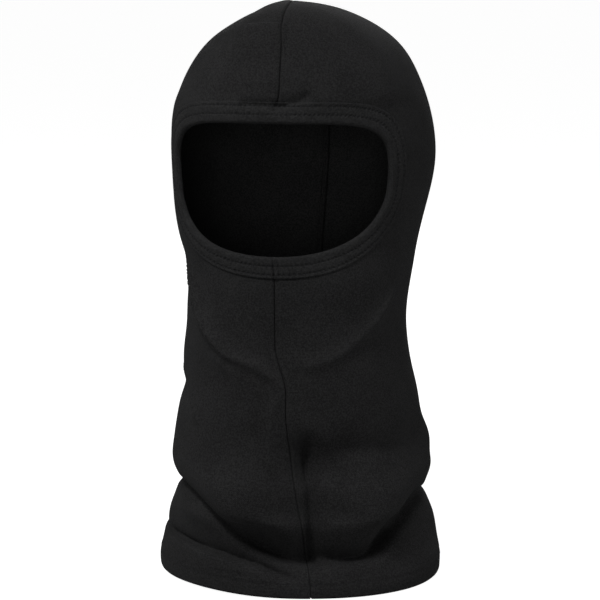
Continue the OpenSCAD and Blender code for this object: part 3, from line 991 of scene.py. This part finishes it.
def band_relief(margin, run, pitch, length):
    """Height of the band's rolled edge, its stitch dimples and the join of its two ends."""
    relief = 0.18 * bell(margin - 2.6, 2.2) + 0.10 * bell(margin - sum(NEEDLE_ROWS) / 2, 1.5)
    hole = bell((run + pitch / 2) % pitch - pitch / 2, 0.55)
    for row in NEEDLE_ROWS:
        relief = relief - (0.20 + 0.42 * hole) * bell(margin - row, 0.5 + 0.2 * hole)
        relief = relief + 0.09 * (0.5 - hole) * bell(margin - row, 1.6)
    relief = relief + 0.07 * np.sin(run * 0.43 + margin) * bell(margin - 2.0, 2.5)
    from_join = (run + length / 2) % length - length / 2
    relief = relief - 0.85 * bell(from_join, 0.5)
    relief = relief + 0.40 * bell(from_join - JOIN_RIDGE / 2, 0.75)
    return relief - 0.35 * bell(from_join - JOIN_RIDGE - 0.3, 0.5)


def band_place(turn, margin, height):
    """Point of the band, at a height over the panel's middle."""
    return lay(*opening_point(turn, margin), height - CLOTH / 2)


def build_strip(name, turns, length, corners, material):
    """A strip all round the opening; each corner of its section has a margin, a height and a place
    across the cloth."""
    points = np.stack([band_place(turns, margin, height) for margin, height, _ in corners], 1)
    run = np.arange(len(turns)) / len(turns) * length
    knit = np.stack(np.broadcast_arrays(run[:, None], [across for _, _, across in corners]), -1)
    faces = ring_faces(*points.shape[:2], True, True)
    return mesh_object(name, points.reshape(-1, 3), faces, [material], knit=knit.reshape(-1, 2))


def build_band(material):
    turns, length = opening_turns(BAND_STITCHES * SUB_STEPS, NEEDLE_ROWS[0])
    run = np.arange(len(turns)) / len(turns) * length
    profile = band_profile()
    corners = []
    for (margin, height, side), across in zip(profile, run_along([p[:2] for p in profile])):
        if side:
            fade = math.copysign(min(1.0, abs(height) / BAND_RISE), height)
            height = height + fade * band_relief(margin, run, length / BAND_STITCHES, length)
        corners.append((margin, height, across))
    return build_strip("face_band_strip", turns, length, corners, material)


def build_elastic(material):
    """The braided elastic inside the band's rolled edge: a flat strip of fine cords."""
    turns, length = opening_turns(ELASTIC_STEPS, ELASTIC_START)
    across = np.linspace(0, 1, ELASTIC_CORDS * 4 + 1)
    cords = ELASTIC_T / 2 - 0.12 + 0.12 * np.abs(np.sin(np.pi * ELASTIC_CORDS * across))
    cords[[0, -1]] = ELASTIC_T / 4
    across = across * ELASTIC_WIDTH
    outline = [*zip(across, cords), *zip(across[::-1], -cords[::-1])]
    corners = [(ELASTIC_START + x, height, x) for x, height in outline]
    return build_strip("elastic_strip", turns, length, corners, material)


def build_band_stitches(name, margin, material):
    """A row of short stitches that dip into the band at each needle hole."""
    turns, _ = opening_turns(BAND_STITCHES * len(BAND_DIP), NEEDLE_ROWS[0])
    threads = Threads(NEEDLE_THREAD)
    for stitch in np.split(turns, BAND_STITCHES):
        threads.add_on(lambda height: band_place(stitch, margin, height), BAND_RISE - 0.22 + BAND_DIP)
    return threads.build(name, material)


def build_band_join(material):
    """A few stitches in the groove where the band's two ends meet at the chin."""
    threads = Threads(JOIN_THREAD)
    for start in (2.2, 3.9, 6.3, 8.1):
        margin = np.linspace(start, start + 1.5, len(JOIN_DIP))
        threads.add_on(lambda height: band_place(270.0, margin, height), BAND_RISE - 0.42 + JOIN_DIP)
    return threads.build("band_join_stitches", material)


def build_looper(name, surface, count, rows, heights, material):
    """A looper thread: two zigzags between two rows, on a surface that takes a row and a height."""
    threads = Threads(FINE_THREAD, 5)
    for shift, height in enumerate(heights):
        row = np.where((np.arange(count) + shift) % 2 == 0, rows[1], rows[0])
        threads.add_on(lambda h: surface(row, h), height, out=-1, closed=True)
    return threads.build(name, material)


def build_band_looper(material):
    """The looper thread inside the band, crossing between the two needle rows."""
    turns, _ = opening_turns(BAND_STITCHES * 2, NEEDLE_ROWS[0])
    heights = [-(BAND_RISE + gap) for gap in (0.12, 0.24)]
    return build_looper(
        "face_looper_stitches", lambda row, height: band_place(turns, row, height), len(turns),
        NEEDLE_ROWS, heights, material,
    )


# ---- Hem and seams ----

OVERLOCK_PITCH = 2.4
# Depth of one overlock loop's corners, and whether each lies on the cloth's face or over its edge
OVERLOCK_LOOP = ((1.9, 1), (SEAM_DEPTH + 0.9, 1), (SEAM_DEPTH + 1.3, 0), (SEAM_DEPTH + 0.9, 1), (1.9, 1))
SEAM_START = 24 / BROW     # climb at which the overlocked seams start, over the turned-up hem
SEAM_TOP = 1.985           # climb at which the crown seam passes over the crown


def build_hem_row(name, z, material):
    """A row of stitches round the hem, dipping in at each needle hole."""
    threads = Threads(NEEDLE_THREAD)
    share = np.linspace(0, 1, len(HEM_DIP))
    for k in range(HEM_STITCHES):
        angle = (k + share) * 360 / HEM_STITCHES
        threads.add_on(lambda proud: lay(angle, z / BROW, proud), 0.1 + HEM_DIP)
    return threads.build(name, material)


def build_hem_looper(material):
    """The looper thread inside the hem, over its raw edge."""
    angle = np.arange(HEM_STITCHES * 2) * 180 / HEM_STITCHES
    heights = [-(2 * CLOTH + gap) for gap in (0.3, 0.45)]
    return build_looper(
        "hem_looper_stitches", lambda row, proud: lay(angle, row / BROW, proud), len(angle),
        (HEM_ROWS[1], HEM_TURN - 0.6), heights, material,
    )


def build_overlock(name, stations, material):
    """Overlock loops round both seam allowances, along a list of [angle, climb]."""
    stations = np.array(stations)
    run = run_along(skin(stations[:, 0], stations[:, 1]))
    corners = len(OVERLOCK_LOOP)
    count = int(run[-1] / OVERLOCK_PITCH) * corners
    index = np.interp((np.arange(count) / corners + 0.3) * OVERLOCK_PITCH, run, np.arange(len(run)))
    angle = stations[np.round(index).astype(int), 0]
    climb = np.interp(index, np.arange(len(run)), stations[:, 1])
    threads = Threads(FINE_THREAD, 5)
    for face in (1, -1):
        path, normals = [], []
        for k in range(count):
            depth, on_face = OVERLOCK_LOOP[k % corners]
            depth = SEAM_BEND + (depth - SEAM_BEND) * label_room(angle[k], height_of(climb[k]))
            across = face * sideways(np.array(climb[k]))
            aside = on_face * (SEAM_SHIFT + CLOTH / 2 + 0.2)
            path.append(lay(angle[k], climb[k], -(CLOTH / 2 + depth)) + across * aside)
            normals.append(across)
        threads.add(np.array(path), np.array(normals))
    return threads.build(name, material)


def under_band(turn):
    """Climb at which a middle seam comes out from under the band."""
    return float(opening_point(turn, BAND_WIDTH + 8)[1])


def crown_stations():
    rise = np.linspace(under_band(90.0), SEAM_TOP, 60)
    fall = np.linspace(SEAM_TOP, SEAM_START, 260)
    return [(0.0, c) for c in rise] + [(180.0, c) for c in fall]


def chin_stations():
    return [(0.0, c) for c in np.linspace(SEAM_START, under_band(270.0), 120)]


# ---- Care label ----


LABEL_HALF_T = 0.17
LABEL_INSET = 0.5          # from the CAD label's box to the satin's edges
LABEL_GRID = (34, 40)
LABEL_STITCHES = 14


def build_label(pivot, material):
    """A blank satin label with a folded edge, curling a little away from the cloth."""
    low, high = (np.array(c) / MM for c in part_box("care_label"))
    way = ((low + high) / 2 - pivot) * [1, 1, 0]
    reach = np.linalg.norm(way)
    way = way / reach
    inward = np.cross(way, [0, 0, 1.0])
    across = np.linspace(LABEL_INSET, 2 * reach - LABEL_INSET, LABEL_GRID[0])
    rise = np.linspace(low[2] + LABEL_INSET, high[2] - LABEL_INSET, LABEL_GRID[1])
    a, z = np.meshgrid(across, rise, indexing="ij")
    share = (a - across[0]) / (across[-1] - across[0])
    up = (z - rise[0]) / (rise[-1] - rise[0])
    curl = 0.78 * share**2 * (0.4 + 0.6 * np.sin(np.pi * up))
    curl = curl + 0.21 * np.sin(2.2 * np.pi * up + 0.6) * share
    half = LABEL_HALF_T + 0.16 * (bell(a - across[0] - 2.2, 0.5) + bell(a - across[-1] + 2.0, 0.5))
    points = []
    for face in (1, -1):
        at = pivot * [1, 1, 0] + way * a[..., None] + inward * (curl + face * half)[..., None]
        at[..., 2] = z
        points.append(at.reshape(-1, 3))
    front = [tuple(reversed(face)) for face in ring_faces(*LABEL_GRID, False, False)]
    knit = np.tile(np.stack([a, z], -1).reshape(-1, 2), (2, 1))
    faces = both_sides(front, a.size)
    return mesh_object("satin_label", np.concatenate(points), faces, [material], knit=knit)


def build_label_thread(material):
    """Stitches that hold the label's edge, one above the other."""
    low, high = (np.array(c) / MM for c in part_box("label_thread"))
    x, y = (low[:2] + high[:2]) / 2
    threads = Threads(FINE_THREAD)
    bow = 0.22 * np.sin(np.linspace(0, np.pi, 7))
    for k in range(LABEL_STITCHES):
        z = low[2] + (high[2] - low[2]) * (k + np.linspace(0.06, 0.94, 7)) / LABEL_STITCHES
        path = np.stack([np.full(7, x), y - bow, z], -1)
        threads.add(path, np.tile([0.0, -1.0, 0.0], (7, 1)))
    return threads.build("label_stitches", material)


# ---- Stage ----

CAMERA_ANGLES = (10.0, 9.5)  # round from the front and up, in degrees
CAMERA_DISTANCE = 1.5        # metres
CAMERA_LENS = 145.0          # millimetres, before a sensor 36 mm wide
AIM_SHIFT = -0.0015          # of the camera's aim from the middle, in metres
AIM_HEIGHT = 0.471           # of the camera's aim, as a share of the object's height
FLOOR_RADIUS = 14
FLOOR_GAP = 0.0004
FLOOR_GLOW = 0.96
WORLD_LIGHT = 0.06
WORLD_SEEN = 1.05            # brightness of the world where the camera sees it
# name, place in spans of the object from its centre, size in spans, watts
LIGHTS = [
    ("key", (-1.0, -2.8, 3.7), (1.1, 1.1), 21.6),
    ("front", (0.6, -5.4, 0.7), (1.5, 1.5), 4.6),
    ("top", (0.0, -0.6, 3.8), (1.8, 1.8), 2.5),
    ("rim_left", (-3.2, -0.1, 1.2), (0.6, 2.0), 3.0),
    ("rim_right", (3.0, -0.3, 0.5), (0.7, 1.4), 3.4),
    ("back", (-0.3, 4.2, 1.8), (1.8, 1.8), 7),
]


def floor_material():
    """Pale paper that glows a little, so that it stays as bright as the studio far away."""
    s = Shader("floor")
    paper = s.ramp(s.noise(60.0), 0.2, 0.8, (0.33, 0.33, 0.33), (0.36, 0.36, 0.36))
    seen = s.node("ShaderNodeLightPath").outputs["Is Camera Ray"]
    return s.finish(
        Base_Color=paper,
        Roughness=0.9,
        Specular_IOR_Level=0.0,
        Emission_Color=(1, 1, 1, 1),
        Emission_Strength=s.times(seen, FLOOR_GLOW),
    )


def add_object(name, data, place, towards):
    """A light or a camera at a place, looking towards a direction."""
    made = bpy.data.objects.new(name, data)
    made.location = place
    made.rotation_mode = "QUATERNION"
    made.rotation_quaternion = towards.to_track_quat("-Z", "Y")
    bpy.context.scene.collection.objects.link(made)
    return made


def build_floor(z):
    bpy.ops.mesh.primitive_circle_add(
        vertices=96, radius=FLOOR_RADIUS, fill_type="NGON", location=(0, 0, z - FLOOR_GAP)
    )
    floor = bpy.context.object
    floor.name = "floor"
    floor.data.materials.append(floor_material())


def build_world():
    """White all round: dim as a light and bright where the camera sees it."""
    world = bpy.data.worlds.new("studio")
    bpy.context.scene.world = world
    world.use_nodes = True
    tree = world.node_tree
    background = next(n for n in tree.nodes if n.type == "BACKGROUND")
    background.inputs["Color"].default_value = (1, 1, 1, 1)
    path = tree.nodes.new("ShaderNodeLightPath")
    strength = tree.nodes.new("ShaderNodeMapRange")
    strength.inputs["To Min"].default_value = WORLD_LIGHT
    strength.inputs["To Max"].default_value = WORLD_SEEN
    tree.links.new(path.outputs["Is Camera Ray"], strength.inputs["Value"])
    tree.links.new(strength.outputs["Result"], background.inputs["Strength"])


def build_stage(low, high):
    """Pale floor, soft lights and the camera."""
    centre = (low + high) / 2
    span = max(high - low)
    build_floor(low.z)
    build_world()
    for name, place, size, power in LIGHTS:
        data = bpy.data.lights.new(name, "AREA")
        data.shape = "RECTANGLE"
        data.size, data.size_y = size[0] * span, size[1] * span
        data.energy = power
        at = centre + Vector(place) * span
        add_object(name, data, at, centre - at)

    data = bpy.data.cameras.new("camera")
    data.lens = CAMERA_LENS
    a, e = (math.radians(v) for v in CAMERA_ANGLES)
    back = Vector((math.sin(a) * math.cos(e), -math.cos(a) * math.cos(e), math.sin(e)))
    aim = Vector((centre.x + AIM_SHIFT, 0.0, low.z + (high.z - low.z) * AIM_HEIGHT))
    bpy.context.scene.camera = add_object("camera", data, aim + back * CAMERA_DISTANCE, -back)
    bpy.context.scene.view_settings.view_transform = "Standard"


# ---- Build ----


def put_on(piece, body, node):
    """Lets a piece replace a CAD node and ride on one body."""
    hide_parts(node)
    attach(piece, body)


def blend_on(piece, nodes):
    """Lets a piece replace CAD nodes, with its placement baked into its points."""
    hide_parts(*nodes)
    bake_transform(piece)


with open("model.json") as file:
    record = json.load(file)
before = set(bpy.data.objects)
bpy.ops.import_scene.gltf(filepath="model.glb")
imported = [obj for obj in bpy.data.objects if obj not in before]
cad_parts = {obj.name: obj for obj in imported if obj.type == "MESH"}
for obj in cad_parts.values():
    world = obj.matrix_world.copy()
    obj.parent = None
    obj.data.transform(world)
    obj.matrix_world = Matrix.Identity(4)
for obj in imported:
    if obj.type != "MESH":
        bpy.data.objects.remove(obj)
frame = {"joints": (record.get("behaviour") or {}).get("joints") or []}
cad_low, cad_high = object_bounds()
label_joint = next(j for j in frame["joints"] if j["name"] == "label_flap")
label_pivot = np.array(label_joint["pos_m"]) / MM

jersey = knit_material("jersey_face", (0.0092, 0.0092, 0.0094), (0.0210, 0.0210, 0.0213), JERSEY_STITCH)
# The inside of the cloth gets tones about 2.5 times lighter than its face: painted light that brightens
# the dim inside of the hood
jersey_back_painted_light = knit_material(
    "jersey_back_painted_light", (0.025, 0.025, 0.0252), (0.051, 0.051, 0.0514), JERSEY_STITCH, purl=True
)
band_knit = knit_material("band_jersey", (0.0102, 0.0102, 0.0104), (0.0230, 0.0230, 0.0233), BAND_STITCH)
black_thread = thread_material("black_thread", (0.006, 0.006, 0.0065), 0.5)
seam_thread = thread_material("seam_thread", (0.025, 0.025, 0.0253), 0.5)
white_thread = thread_material("white_thread", (0.30, 0.30, 0.29), 0.5)

for side_name, side in (("left", LEFT), ("right", RIGHT)):
    panel = build_panel(side, side_name + "_panel", [jersey, jersey_back_painted_light])
    blend_on(panel, (side_name + "_hood_panel", side_name + "_neck_panel"))

put_on(build_band(band_knit), "hood", "face_band")
for row, margin in zip(("inner", "outer"), NEEDLE_ROWS):
    stitches = build_band_stitches("face_needle_stitches_" + row, margin, black_thread)
    put_on(stitches, "hood", "face_needle_thread_" + row)
put_on(build_band_looper(black_thread), "hood", "face_looper_thread")
put_on(build_elastic(elastic_material()), "hood", "face_elastic")
put_on(build_band_join(black_thread), "hood", "band_join_thread")
for row, height in zip(("upper", "lower"), HEM_ROWS):
    stitches = build_hem_row("hem_needle_stitches_" + row, height, black_thread)
    put_on(stitches, "neck", "hem_needle_thread_" + row)
put_on(build_hem_looper(black_thread), "neck", "hem_looper_thread")
put_on(build_label(label_pivot, satin_material()), "label", "care_label")
put_on(build_label_thread(white_thread), "neck", "label_thread")

for seam_name, stations in (("crown_seam", crown_stations()), ("chin_seam", chin_stations())):
    seam = build_overlock(seam_name + "_overlock", stations, seam_thread)
    blend_on(seam, (seam_name + "_thread",))

build_stage(cad_low, cad_high)
